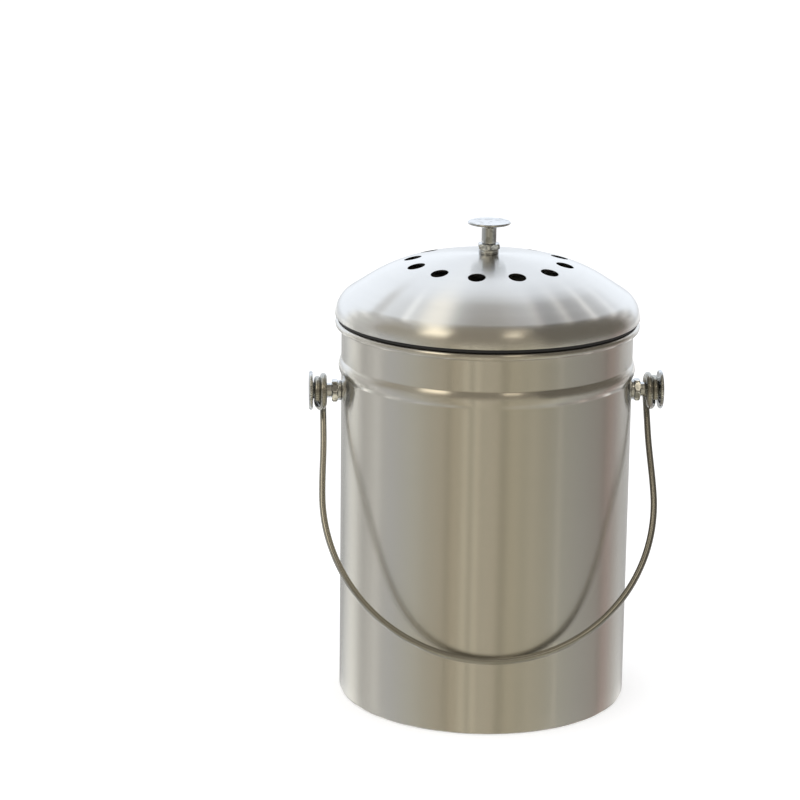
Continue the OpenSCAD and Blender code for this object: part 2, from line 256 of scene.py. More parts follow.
class Graph:
    """A node tree that is built one node at a time."""

    def __init__(self, tree: bpy.types.NodeTree) -> None:
        """Starts on a tree and empties it."""
        self.tree = tree
        tree.nodes.clear()

    def node(
        self,
        kind: str,
        settings: dict[str, object] | None = None,
        inputs: dict[str | int, object] | None = None,
        output: str | int = 0,
    ) -> Socket:
        """Adds one node.

        Args:
            kind: Type of the node.
            settings: Its properties, set first; "stops" are the positions and colours of a ramp.
            inputs: Values or links, by the socket's name or number.
            output: Name or number of the output that is returned.

        Returns:
            The chosen output.
        """
        made = self.tree.nodes.new(kind)
        for key, value in (settings or {}).items():
            if key == "stops":
                self._fill_ramp(made.color_ramp, value)
            else:
                setattr(made, key, value)
        for key, value in (inputs or {}).items():
            self._feed(self._pick(made.inputs, key), value)
        return Socket(self, self._pick(made.outputs, output)) if made.outputs else Socket(self, None)

    def _pick(self, sockets: bpy.types.bpy_prop_collection, key: str | int) -> bpy.types.NodeSocket:
        """The enabled socket of that name, or the socket of that number."""
        if isinstance(key, int):
            return sockets[key]
        named = [s for s in sockets if s.name == key and s.enabled]
        return named[0] if named else sockets[key]

    def _feed(self, socket: bpy.types.NodeSocket, value: object) -> None:
        """Links a socket or sets its value; a list of sockets goes into a joining input one by one."""
        if isinstance(value, Socket):
            self.tree.links.new(value.output, socket)
        elif isinstance(value, list):
            for item in value:
                self.tree.links.new(item.output, socket)
        elif isinstance(value, tuple) and len(value) == 3 and socket.type == "RGBA":
            socket.default_value = (*value, 1.0)
        else:
            socket.default_value = value

    @staticmethod
    def _fill_ramp(ramp: bpy.types.ColorRamp, stops: Iterable[tuple[float, Colour]]) -> None:
        """Gives a ramp its stops."""
        stops = list(stops)
        while len(ramp.elements) < len(stops):
            ramp.elements.new(1.0)
        for element, (place, colour) in zip(ramp.elements, stops):
            element.position = place
            element.color = (*colour, 1.0)

    def vector(self, x: Socket | float, y: Socket | float, z: Socket | float) -> Socket:
        """A vector from three values."""
        return self.node("ShaderNodeCombineXYZ", {}, {0: x, 1: y, 2: z})

    def parts(self, vector: Socket) -> tuple[Socket, Socket, Socket]:
        """The three values of a vector."""
        made = self.tree.nodes.new("ShaderNodeSeparateXYZ")
        self.tree.links.new(vector.output, made.inputs[0])
        return Socket(self, made.outputs[0]), Socket(self, made.outputs[1]), Socket(self, made.outputs[2])

    def noise(self, vector: Socket, detail: float = 3.0, roughness: float = 0.55) -> Socket:
        """Value of a noise at a place that is already scaled."""
        inputs = {"Vector": vector, "Scale": 1.0, "Detail": detail, "Roughness": roughness}
        return self.node("ShaderNodeTexNoise", {"noise_dimensions": "3D"}, inputs, "Fac")

    def blend(
        self, factor: Socket | float, a: Socket | Colour, b: Socket | Colour, how: str = "MIX"
    ) -> Socket:
        """Mixes two colours."""
        settings = {"data_type": "RGBA", "blend_type": how}
        return self.node("ShaderNodeMix", settings, {"Factor": factor, "A": a, "B": b}, "Result")

    def toned(self, colour: Socket | Colour, tone: Socket) -> Socket:
        """A colour times a tone."""
        return self.blend(1.0, colour, self.vector(tone, tone, tone), "MULTIPLY")


class MaterialGraph(Graph):
    """The node tree of a new material."""

    def __init__(self, name: str) -> None:
        """Starts a material of that name with an empty tree."""
        self.material = bpy.data.materials.new(name)
        self.material.use_nodes = True
        super().__init__(self.material.node_tree)

    def place(self) -> tuple[Socket, Socket, Socket]:
        """The three coordinates of a point on the object, in metres."""
        return self.parts(self.node("ShaderNodeTexCoord", {}, {}, "Object"))

    def bump(self, height: Socket, strength: float, distance: float) -> Socket:
        """Normal of a surface that rises and falls by up to a distance in metres."""
        inputs = {"Strength": strength, "Distance": distance, "Height": height}
        return self.node("ShaderNodeBump", {}, inputs, "Normal")

    def close(self, inputs: dict[str | int, object]) -> bpy.types.Material:
        """Ends the tree with one surface.

        Args:
            inputs: Inputs of the surface.

        Returns:
            The material.
        """
        surface = self.node("ShaderNodeBsdfPrincipled", {}, inputs)
        self.node("ShaderNodeOutputMaterial", {}, {"Surface": surface})
        return self.material


class GeometryGraph(Graph):
    """A Geometry Nodes tree with named inputs."""

    def __init__(self, name: str, sizes: dict[str, str]) -> None:
        """Starts a tree that takes a shape, a finish and named sizes.

        Args:
            name: Name of the tree.
            sizes: Socket type of each named input.
        """
        tree = bpy.data.node_groups.new(name, "GeometryNodeTree")
        super().__init__(tree)
        tree.interface.new_socket("Shape", in_out="INPUT", socket_type="NodeSocketGeometry")
        for label, kind in sizes.items():
            tree.interface.new_socket(label, in_out="INPUT", socket_type=kind)
        tree.interface.new_socket("Finish", in_out="INPUT", socket_type="NodeSocketMaterial")
        tree.interface.new_socket("Shape", in_out="OUTPUT", socket_type="NodeSocketGeometry")
        self.entry = tree.nodes.new("NodeGroupInput")

    def given(self, label: str) -> Socket:
        """One of the tree's named inputs."""
        return Socket(self, self.entry.outputs[label])

    def dressed(self, shape: Socket, finish: str, everywhere: bool = True) -> Socket:
        """Gives a shape one of the tree's finishes.

        Args:
            shape: The shape.
            finish: Name of the input that holds the finish.
            everywhere: False leaves every face alone that does not carry this finish yet.

        Returns:
            The dressed shape.
        """
        inputs = {"Geometry": shape, "Material": self.given(finish)}
        if not everywhere:
            inputs["Selection"] = self.node(
                "GeometryNodeMaterialSelection", {}, {"Material": self.given(finish)}
            )
        return self.node("GeometryNodeSetMaterial", {}, inputs)

    def close(self, shape: Socket, finish: str = "Finish", everywhere: bool = True) -> None:
        """Ends the tree with real instances that carry their finish."""
        real = self.node("GeometryNodeRealizeInstances", {}, {0: shape})
        self.node("NodeGroupOutput", {}, {0: self.dressed(real, finish, everywhere)})

    def apply(self, piece: bpy.types.Object, values: dict[str, object]) -> bpy.types.Object:
        """Runs the tree on a piece and keeps the result as its plain mesh.

        Args:
            piece: The object that goes in.
            values: Value of each named input.

        Returns:
            The same object, with its new mesh.
        """
        modifier = piece.modifiers.new(self.tree.name, "NODES")
        modifier.node_group = self.tree
        for item in self.tree.interface.items_tree:
            if item.item_type == "SOCKET" and item.in_out == "INPUT" and item.name in values:
                modifier[item.identifier] = values[item.name]
        graph = bpy.context.evaluated_depsgraph_get()
        mesh = bpy.data.meshes.new_from_object(piece.evaluated_get(graph), depsgraph=graph)
        piece.modifiers.clear()
        mesh.name = piece.name
        piece.data = mesh
        return piece


# Finishes


@dataclass(frozen=True)
class SatinSteel:
    """Stainless sheet brushed in circles round the pail's axis."""

    name: str
    colour: Colour
    roughness: float
    grain: float = 0.02
    lines: float = 1900.0
    anisotropy: float = 0.8
    direction: float = 0.25
    relief: float = 0.015

    def material(self) -> bpy.types.Material:
        """Builds the finish.

        Returns:
            The material, with fine lines, uneven polish and faint smears.
        """
        graph = MaterialGraph(self.name)
        x, y, z = graph.place()
        radius = graph.node(
            "ShaderNodeVectorMath", {"operation": "LENGTH"}, {0: graph.vector(x, y, 0.0)}, "Value"
        )
        run = radius - z
        fine = graph.noise(graph.vector(run * self.lines, x * 22.0, y * 22.0), 4.0, 0.65)
        broad = graph.noise(graph.vector(run * 210.0, x * 7.0, y * 7.0), 2.0, 0.5)
        smear = graph.noise(graph.vector(x * 17.0, y * 17.0, z * 23.0), 3.0, 0.55)
        tone = 1.0 + (fine - 0.5) * (self.grain * 1.6) + (broad - 0.5) * self.grain
        tint = graph.toned(self.colour, tone)
        gloss = self.roughness + (fine - 0.5) * self.grain + (smear - 0.5) * 0.03
        return graph.close({
            "Base Color": tint,
            "Metallic": 1.0,
            "Roughness": gloss,
            "Anisotropic": self.anisotropy,
            "Anisotropic Rotation": self.direction,
            "Normal": graph.bump(fine * 0.7 + broad * 0.3, self.relief, 0.0002),
        })


@dataclass(frozen=True)
class BrightSteel:
    """Polished turned steel with a few faint smears."""

    name: str
    colour: Colour
    roughness: float
    smears: float = 0.06
    stain: float = 0.3

    def material(self) -> bpy.types.Material:
        """Builds the finish.

        Returns:
            The material.
        """
        graph = MaterialGraph(self.name)
        x, y, z = graph.place()
        smear = graph.noise(graph.vector(x * 160.0, y * 160.0, z * 160.0), 3.0, 0.6)
        fine = graph.noise(graph.vector(x * 1500.0, y * 1500.0, z * 1500.0), 2.0, 0.5)
        waves = graph.noise(graph.vector(x * 260.0, y * 260.0, z * 260.0), 1.0, 0.5)
        tone = 1.0 + (smear - 0.5) * self.smears - waves.eased(0.48, 0.62) * self.stain
        tint = graph.toned(self.colour, tone)
        gloss = self.roughness + smear.eased(0.45, 0.75) * self.smears + (fine - 0.5) * 0.02
        bump = graph.bump(waves, 0.12, 0.0004)
        return graph.close({"Base Color": tint, "Metallic": 1.0, "Roughness": gloss, "Normal": bump})


@dataclass(frozen=True)
class DrawnWire:
    """Stainless wire with fine lines drawn along its length."""

    name: str
    colour: Colour
    roughness: float

    def material(self) -> bpy.types.Material:
        """Builds the finish on the wire's own map: U round it, V along it in metres.

        Returns:
            The material.
        """
        graph = MaterialGraph(self.name)
        around, along, _ = graph.parts(graph.node("ShaderNodeUVMap", {"uv_map": "wire_map"}))
        turn = around * (2 * math.pi)
        side = turn.math("COSINE", turn)
        front = turn.math("SINE", turn)
        drawn = graph.noise(graph.vector(side * 14.0, front * 14.0, along * 16.0), 3.0, 0.6)
        patch = graph.noise(graph.vector(side * 1.2, front * 1.2, along * 55.0), 3.0, 0.55)
        tone = 1.0 + (drawn - 0.5) * 0.14 + (patch - 0.5) * 0.12
        tint = graph.toned(self.colour, tone)
        gloss = self.roughness + (drawn - 0.5) * 0.08 + (patch - 0.5) * 0.08
        bump = graph.bump(drawn, 0.12, 0.0001)
        return graph.close({"Base Color": tint, "Metallic": 1.0, "Roughness": gloss, "Normal": bump})


@dataclass(frozen=True)
class DarkMoulding:
    """Dark rubber, plastic or pressed charcoal with a grain of its own."""

    name: str
    colour: Colour
    roughness: float
    grain_scale: float
    relief: float
    mottle: float = 0.3

    def material(self) -> bpy.types.Material:
        """Builds the finish.

        Returns:
            The material.
        """
        graph = MaterialGraph(self.name)
        x, y, z = graph.place()
        scale = self.grain_scale
        grain = graph.noise(graph.vector(x * scale, y * scale, z * scale), 4.0, 0.65)
        patch = graph.noise(graph.vector(x * 40.0, y * 40.0, z * 40.0), 3.0, 0.5)
        tone = 1.0 + (grain - 0.5) * self.mottle * 2.0 + (patch - 0.5) * self.mottle
        tint = graph.toned(self.colour, tone)
        gloss = self.roughness + (grain - 0.5) * 0.12 + (patch - 0.5) * 0.1
        bump = graph.bump(grain, self.relief, 0.0006)
        return graph.close({"Base Color": tint, "Roughness": gloss, "Normal": bump})


class Finish(Enum):
    """The finishes of the caddy; each value's name is a material slot of the part."""

    WALL = SatinSteel("brushed_steel", (0.75, 0.735, 0.70), 0.21, anisotropy=0.95)
    LID = SatinSteel("lid_steel", (0.80, 0.80, 0.79), 0.23, grain=0.05, anisotropy=0.93, relief=0.03)
    # Near-black steel for the vents' punched walls is painted shade; the cut steel itself has the sheet's
    # colour.
    CUT = SatinSteel("vent_wall_painted_shade", (0.10, 0.10, 0.10), 0.5, anisotropy=0.0)
    PLAIN = SatinSteel("plain_steel", (0.66, 0.65, 0.63), 0.34, anisotropy=0.3)
    WIRE = DrawnWire("wire_steel", (0.49, 0.487, 0.46), 0.15)
    CHROME = BrightSteel("chrome", (0.74, 0.765, 0.79), 0.04)
    RUBBER = DarkMoulding("seal_rubber", (0.018, 0.018, 0.019), 0.55, 1400.0, 0.15)
    CHARCOAL = DarkMoulding("charcoal", (0.012, 0.012, 0.013), 0.95, 700.0, 0.9, 0.6)
    PLASTIC = DarkMoulding("holder_plastic", (0.022, 0.022, 0.024), 0.42, 1100.0, 0.12)


class Workshop:
    """Makes pieces and hands them their finish and their body."""

    def __init__(self) -> None:
        """Builds every finish once."""
        self.materials = {finish: finish.value.material() for finish in Finish}

    def piece(self, name: str, mesh: bpy.types.Mesh, finish: Finish) -> bpy.types.Object:
        """Puts a mesh into the scene as an object at the origin.

        Args:
            name: Name of the piece.
            mesh: Its mesh, already in place.
            finish: Its finish.

        Returns:
            The object.
        """
        made = bpy.data.objects.new(name, mesh)
        bpy.context.scene.collection.objects.link(made)
        mesh.materials.clear()
        mesh.materials.append(self.materials[finish])
        return made

    def fit(self, piece: bpy.types.Object, body: str, finish: Finish, *nodes: str) -> bpy.types.Object:
        """Rides a piece on its body in place of some nodes, and logs it."""
        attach(piece, body)
        if nodes:
            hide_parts(*nodes)
        LOG.info(
            "%s on %s: %d faces, stands for %s", piece.name, body, len(piece.data.polygons), ", ".join(nodes)
        )
        return piece

    def dress(self, finish: Finish, *nodes: str) -> None:
        """Gives nodes that stay as they are a finish."""
        for name in nodes:
            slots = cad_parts[name].data.materials
            slots.clear()
            slots.append(self.materials[finish])
            LOG.info("%s keeps its shape, in %s", name, finish.value.name)


# The caddy


@dataclass
class Pail:
    """The pail: wall with bead and rolled rim, and the base inside its foot. Sizes in millimetres."""

    radius: float = 88.5
    height: float = 235.0
    sheet: float = 0.8
    curl_d: float = 4.6
    curl_sweep: float = 290.0
    bead_z: float = 206.3
    bead_h: float = 10.0
    bead_out: float = 1.8
    bead_blend: float = 2.2
    foot_corner: float = 1.8
    foot_w: float = 5.0
    base_rise: float = 4.0
    base_gap: float = 0.05
    post_z: float = 190.3
    screw_bore: float = 2.25

    @property
    def mid_r(self) -> float:
        """Radius of the middle of the wall's sheet."""
        return self.radius - self.sheet / 2

    @property
    def foot_in_r(self) -> float:
        """Radius of the foot's inner edge."""
        return self.radius - self.foot_corner - self.foot_w

    def bead_bulge(self, z: float) -> float:
        """How far the wall stands out at a height: a round bead that runs softly into the wall.

        Args:
            z: Height above the foot.

        Returns:
            The bulge, 0 away from the bead.
        """
        off = abs(z - self.bead_z)
        half = self.bead_h / 2
        arc_r = (half * half + self.bead_out * self.bead_out) / (2 * self.bead_out)
        crown = math.sqrt(max(arc_r * arc_r - off * off, 0.0)) - (arc_r - self.bead_out)
        soft = 0.35
        rise = max(0.0, (crown + math.sqrt(crown * crown + soft * soft)) / 2 - soft / 2)
        return rise * min(1.0, max(0.0, (half + self.bead_blend - off) / self.bead_blend))

    def side(self, offset: float) -> list[Point]:
        """One side of the wall's sheet, from the foot to the end of the curl.

        Args:
            offset: Distance outside the sheet's middle.

        Returns:
            The outline of that side.
        """
        curl_mid = (self.curl_d - self.sheet) / 2
        curl_centre = (self.mid_r + curl_mid, self.height - self.curl_d / 2)
        foot_centre = (self.radius - self.foot_corner, self.foot_corner)
        points: list[Point] = [(self.foot_in_r, self.sheet / 2 - offset)]
        points += arc(foot_centre, self.foot_corner - self.sheet / 2 + offset, 180, 90, 8)
        points += [(self.mid_r + offset, z) for z in np.linspace(12, 190, 10)]
        reach = self.bead_h / 2 + self.bead_blend
        points += [
            (self.mid_r + offset + self.bead_bulge(z), z)
            for z in np.linspace(self.bead_z - reach, self.bead_z + reach, 49)
        ]
        points += [(self.mid_r + offset, z) for z in np.linspace(218, 226, 3)]
        points += arc(curl_centre, curl_mid - offset, -90, self.curl_sweep - 90, 40)
        return points

    def wall(self, shop: Workshop) -> bpy.types.Object:
        """Builds the wall with the bores of its two screws.

        Args:
            shop: Maker of the pieces.

        Returns:
            The wall.
        """
        outline = self.side(self.sheet / 2) + self.side(-self.sheet / 2)[::-1]
        piece = shop.piece("steel_wall", turned_mesh("steel_wall", outline, 288), Finish.WALL)
        punch = cross_bore_tree()
        sizes = {
            "Bore Radius": self.screw_bore * MM,
            "Height": self.post_z * MM,
            "Length": (2 * self.radius + 8) * MM,
            "Finish": shop.materials[Finish.WALL],
        }
        punch.apply(piece, sizes)
        smooth(piece.data)
        return shop.fit(piece, "pail", Finish.WALL, "pail_wall")

    def base(self, shop: Workshop) -> bpy.types.Object:
        """Builds the pressed base.

        Args:
            shop: Maker of the pieces.

        Returns:
            The base.
        """
        low = self.sheet + self.base_gap
        high = self.base_rise
        rim_r = self.radius - self.foot_corner - self.base_gap
        floor_r = self.foot_in_r - 3
        half = self.sheet / 2
        corners = [
            (0, high - self.sheet), (floor_r, high - self.sheet),
            (self.foot_in_r, low), (rim_r - self.sheet, low),
            (rim_r - self.sheet, low + self.sheet), (self.foot_in_r + half, low + self.sheet),
            (floor_r + half, high), (0, high),
        ]
        outline = rounded(corners, [0, 1.2, 0.6, 0.2, 0.2, 1.2, 0.6, 0])
        piece = shop.piece("steel_base", turned_mesh("steel_base", outline), Finish.PLAIN)
        return shop.fit(piece, "pail", Finish.PLAIN, "pail_base")

    def build(self, shop: Workshop) -> None:
        """Builds the wall and the base."""
        self.wall(shop)
        self.base(shop)


def cross_bore_tree() -> GeometryGraph:
    """Tree that drills one bore right through a turned wall, along X.

    Returns:
        The tree, with the bore's radius, height and length as inputs.
    """
    tree = GeometryGraph(
        "cross_bore",
        {"Bore Radius": "NodeSocketFloat", "Height": "NodeSocketFloat", "Length": "NodeSocketFloat"},
    )
    drill = tree.node(
        "GeometryNodeMeshCylinder",
        {},
        {"Vertices": 40, "Radius": tree.given("Bore Radius"), "Depth": tree.given("Length")},
    )
    lift = tree.vector(0.0, 0.0, tree.given("Height"))
    placed = tree.node(
        "GeometryNodeTransform",
        {},
        {"Geometry": drill, "Translation": lift, "Rotation": (0.0, math.pi / 2, 0.0)},
    )
    tree.close(punched(tree, tree.given("Shape"), placed))
    return tree


def punched(tree: GeometryGraph, shape: Socket, cutters: Socket) -> Socket:
    """A shape without what its cutters take away."""
    settings = {"operation": "DIFFERENCE", "solver": "EXACT"}
    return tree.node("GeometryNodeMeshBoolean", settings, {"Mesh 1": shape, "Mesh 2": [cutters]}, "Mesh")


def vent_ring_tree() -> GeometryGraph:
    """Tree that punches a ring of round vents, straight down through a dome, and gives the vents' walls a
    near-black finish that is painted shade.

    Returns:
        The tree, with the number of vents, their radius, the ring's radius and its turn as inputs.
    """
    tree = GeometryGraph(
        "vent_ring",
        {
            "Vents": "NodeSocketInt",
            "Vent Radius": "NodeSocketFloat",
            "Ring Radius": "NodeSocketFloat",
            "Turn": "NodeSocketFloat",
            "Height": "NodeSocketFloat",
            "Depth": "NodeSocketFloat",
            "Painted Shade Finish": "NodeSocketMaterial",
        },
    )
    ring = tree.node(
        "GeometryNodeMeshCircle", {}, {"Vertices": tree.given("Vents"), "Radius": tree.given("Ring Radius")}
    )
    placed = tree.node(
        "GeometryNodeTransform",
        {},
        {
            "Geometry": ring,
            "Translation": tree.vector(0.0, 0.0, tree.given("Height")),
            "Rotation": tree.vector(0.0, 0.0, tree.given("Turn")),
        },
    )
    drill = tree.node(
        "GeometryNodeMeshCylinder",
        {},
        {"Vertices": 64, "Radius": tree.given("Vent Radius"), "Depth": tree.given("Depth")},
    )
    drills = tree.node("GeometryNodeInstanceOnPoints", {}, {"Points": placed, "Instance": drill})
    real = tree.node("GeometryNodeRealizeInstances", {}, {0: drills})
    # The drills carry the near-black painted-shade finish onto the vent walls.
    cutters = tree.dressed(real, "Painted Shade Finish")
    sheet = tree.dressed(tree.given("Shape"), "Finish")
    tree.close(punched(tree, sheet, cutters), "Painted Shade Finish", False)
    return tree


def slot_ring_tree() -> GeometryGraph:
    """Tree that cuts a ring of long slots through a floor.

    Returns:
        The tree, with the number, length and width of the slots and the radius of their middles as inputs.
    """
    tree = GeometryGraph(
        "slot_ring",
        {
            "Slots": "NodeSocketInt",
            "Slot Length": "NodeSocketFloat",
            "Slot Width": "NodeSocketFloat",
            "Middle Radius": "NodeSocketFloat",
            "Height": "NodeSocketFloat",
            "Depth": "NodeSocketFloat",
        },
    )
    count = tree.given("Slots")
    points = tree.node("GeometryNodeMeshLine", {}, {"Count": count, "Offset": (0.0, 0.0, 0.0)})
    index = tree.node("GeometryNodeInputIndex")
    angle = (index + 0.5) * (2 * math.pi) / count
    reach = tree.given("Middle Radius")
    spot = tree.vector(
        reach * angle.math("COSINE", angle), reach * angle.math("SINE", angle), tree.given("Height")
    )
    placed = tree.node("GeometryNodeSetPosition", {}, {"Geometry": points, "Position": spot})
    bar = tree.node(
        "GeometryNodeMeshCube",
        {},
        {"Size": tree.vector(tree.given("Slot Length"), tree.given("Slot Width"), tree.given("Depth"))},
    )
    bars = tree.node(
        "GeometryNodeInstanceOnPoints",
        {},
        {"Points": placed, "Instance": bar, "Rotation": tree.vector(0.0, 0.0, angle)},
    )
    real = tree.node("GeometryNodeRealizeInstances", {}, {0: bars})
    tree.close(punched(tree, tree.given("Shape"), real))
    return tree


@dataclass
class Lid:
    """The lid: vented dome, ring and seal below it. Sizes in millimetres."""

    radius: float = 92.4
    sheet: float = 0.8
    edge_z: float = 237.4
    edge_h: float = 0.7
    brow_r: float = 15.0
    flank: float = 33.3
    shoulder_r: float = 87.0
    crown_slope: float = 12.6
    crown_r: float = 208.0
    vents: int = 12
    vent_d: float = 10.6
    vent_ring_r: float = 46.4
    vent_turn: float = -13.5
    screw_bore: float = 2.25
    skirt_r: float = 85.4
    skirt_h: float = 11.4
    seal_t: float = 2.1
    seal_inset: float = 1.0
    seal_sleeve_h: float = 5.6
    sleeve_r: float = 87.4
    gap: float = 0.05

    def centres(self) -> tuple[Point, Point, Point]:
        """Centres of the brow's, the shoulder's and the crown's arcs."""
        brow = (self.radius - self.brow_r, self.edge_z + self.edge_h)
        lean, slope = math.radians(self.flank), math.radians(self.crown_slope)
        shoulder_c = (self.crown_r - self.shoulder_r) * math.sin(slope)
        foot = brow[0] + self.brow_r * math.sin(lean)
        top = shoulder_c + self.shoulder_r * math.sin(lean)
        top_z = brow[1] + self.brow_r * math.cos(lean) + (foot - top) * math.tan(lean)
        shoulder_z = top_z - self.shoulder_r * math.cos(lean)
        crown_z = shoulder_z - (self.crown_r - self.shoulder_r) * math.cos(slope)
        return brow, (shoulder_c, shoulder_z), (0.0, crown_z)

    @property
    def top_z(self) -> float:
        """Height of the dome's highest point."""
        return self.centres()[2][1] + self.crown_r

    def side(self, inset: float) -> list[Point]:
        """One side of the dome's sheet, from the middle to the brow.

        Args:
            inset: Distance inside the outer face.

        Returns:
            The outline of that side.
        """
        brow, shoulder, crown = self.centres()
        start = math.degrees(math.asin(self.screw_bore / (self.crown_r - inset)))
        return (
            arc(crown, self.crown_r - inset, start, self.crown_slope, 22)
            + arc(shoulder, self.shoulder_r - inset, self.crown_slope, self.flank, 18)[1:]
            + arc(brow, self.brow_r - inset, self.flank, 90, 22)
        )

    def slope_at(self, radius: np.ndarray) -> np.ndarray:
        """Slope of the dome in radians at distances from the axis, in millimetres."""
        points = np.array(self.side(self.sheet / 2))
        steps = np.diff(points, axis=0)
        middles = (points[1:, 0] + points[:-1, 0]) / 2
        return np.interp(radius, middles, np.arctan2(-steps[:, 1], steps[:, 0]))

    def true_normals(self, mesh: bpy.types.Mesh) -> None:
        """Sets the dome's normals from its outline, so that the vents leave no dents in its shine."""
        corners = np.zeros(len(mesh.loops), np.int64)
        mesh.loops.foreach_get("vertex_index", corners)
        places = np.zeros(len(mesh.vertices) * 3)
        mesh.vertices.foreach_get("co", places)
        places = places.reshape(-1, 3)[corners]
        normals = np.zeros(len(mesh.loops) * 3)
        mesh.corner_normals.foreach_get("vector", normals)
        normals = normals.reshape(-1, 3)
        flats = np.zeros(len(mesh.polygons) * 3)
        mesh.polygons.foreach_get("normal", flats)
        counts = np.zeros(len(mesh.polygons), np.int64)
        mesh.polygons.foreach_get("loop_total", counts)
        flats = np.repeat(flats.reshape(-1, 3), counts, axis=0)
        radius = np.hypot(places[:, 0], places[:, 1])
        slope = self.slope_at(radius / MM)
        ideal = np.stack(
            (
                np.sin(slope) * places[:, 0] / radius,
                np.sin(slope) * places[:, 1] / radius,
                np.cos(slope),
            ),
            axis=1,
        )
        facing = np.einsum("ij,ij->i", flats, ideal)
        on_sheet = (np.abs(facing) > 0.97) & (radius / MM < self.radius - 3)
        normals[on_sheet] = ideal[on_sheet] * np.sign(facing[on_sheet])[:, None]
        mesh.normals_split_custom_set(normals.tolist())

    def dome(self, shop: Workshop) -> bpy.types.Object:
        """Builds the vented dome.

        Args:
            shop: Maker of the pieces.

        Returns:
            The dome.
        """
        hem = self.sheet / 2
        edge = arc((self.radius - hem, self.edge_z + hem), hem, 90, 270, 8)
        outline = self.side(0.0) + edge + self.side(self.sheet)[::-1]
        piece = shop.piece("steel_dome", turned_mesh("steel_dome", outline, 288), Finish.LID)
        sizes = {
            "Vents": self.vents,
            "Vent Radius": self.vent_d / 2 * MM,
            "Ring Radius": self.vent_ring_r * MM,
            "Turn": math.radians(self.vent_turn - 90),
            "Height": (self.edge_z + 30) * MM,
            "Depth": 50 * MM,
            "Finish": shop.materials[Finish.LID],
            # The vent walls get the near-black finish, which is painted shade.
            "Painted Shade Finish": shop.materials[Finish.CUT],
        }
        vent_ring_tree().apply(piece, sizes)
        smooth(piece.data)
        self.true_normals(piece.data)
        return shop.fit(piece, "lid", Finish.LID, "lid_dome")

    def ring(self, shop: Workshop) -> bpy.types.Object:
        """Builds the ring that drops into the pail's mouth.

        Args:
            shop: Maker of the pieces.

        Returns:
            The ring.
        """
        inner = self.skirt_r - self.sheet
        outer = self.radius - self.sheet - self.gap
        low, top = self.edge_z - self.skirt_h, self.edge_z + self.sheet
        corners = [
            (inner, low), (self.skirt_r, low), (self.skirt_r, self.edge_z),
            (outer, self.edge_z), (outer, top), (inner, top),
        ]
        mesh = turned_mesh("lid_inner_ring", rounded(corners, [0.3, 0.3, 0.2, 0.3, 0.3, 0.7]))
        return shop.fit(shop.piece("lid_inner_ring", mesh, Finish.PLAIN), "lid", Finish.PLAIN, "lid_ring")

    def seal(self, shop: Workshop) -> bpy.types.Object:
        """Builds the dark seal between lid and rim.

        Args:
            shop: Maker of the pieces.

        Returns:
            The seal.
        """
        inner = self.skirt_r + self.gap
        outer = self.radius - self.seal_inset
        low = self.edge_z - self.seal_t
        foot = low - self.seal_sleeve_h
        top = self.edge_z - self.gap
        corners = [
            (inner, foot), (self.sleeve_r, foot), (self.sleeve_r, low),
            (outer, low), (outer, top), (inner, top),
        ]
        mesh = turned_mesh("rubber_seal", rounded(corners, [0.2, 0.8, 0.2, 1.0, 0.6, 0.1]))
        return shop.fit(shop.piece("rubber_seal", mesh, Finish.RUBBER), "lid", Finish.RUBBER, "lid_seal")

    def build(self, shop: Workshop) -> None:
        """Builds dome, ring and seal."""
        self.dome(shop)
        self.ring(shop)
        self.seal(shop)


class Side(Enum):
    """Where a turned knob stands, as the matrix that turns +Z to its direction."""

    TOP = Matrix.Identity(4)
    RIGHT = Matrix.Rotation(math.pi / 2, 4, "Y")
    LEFT = Matrix.Rotation(-math.pi / 2, 4, "Y")


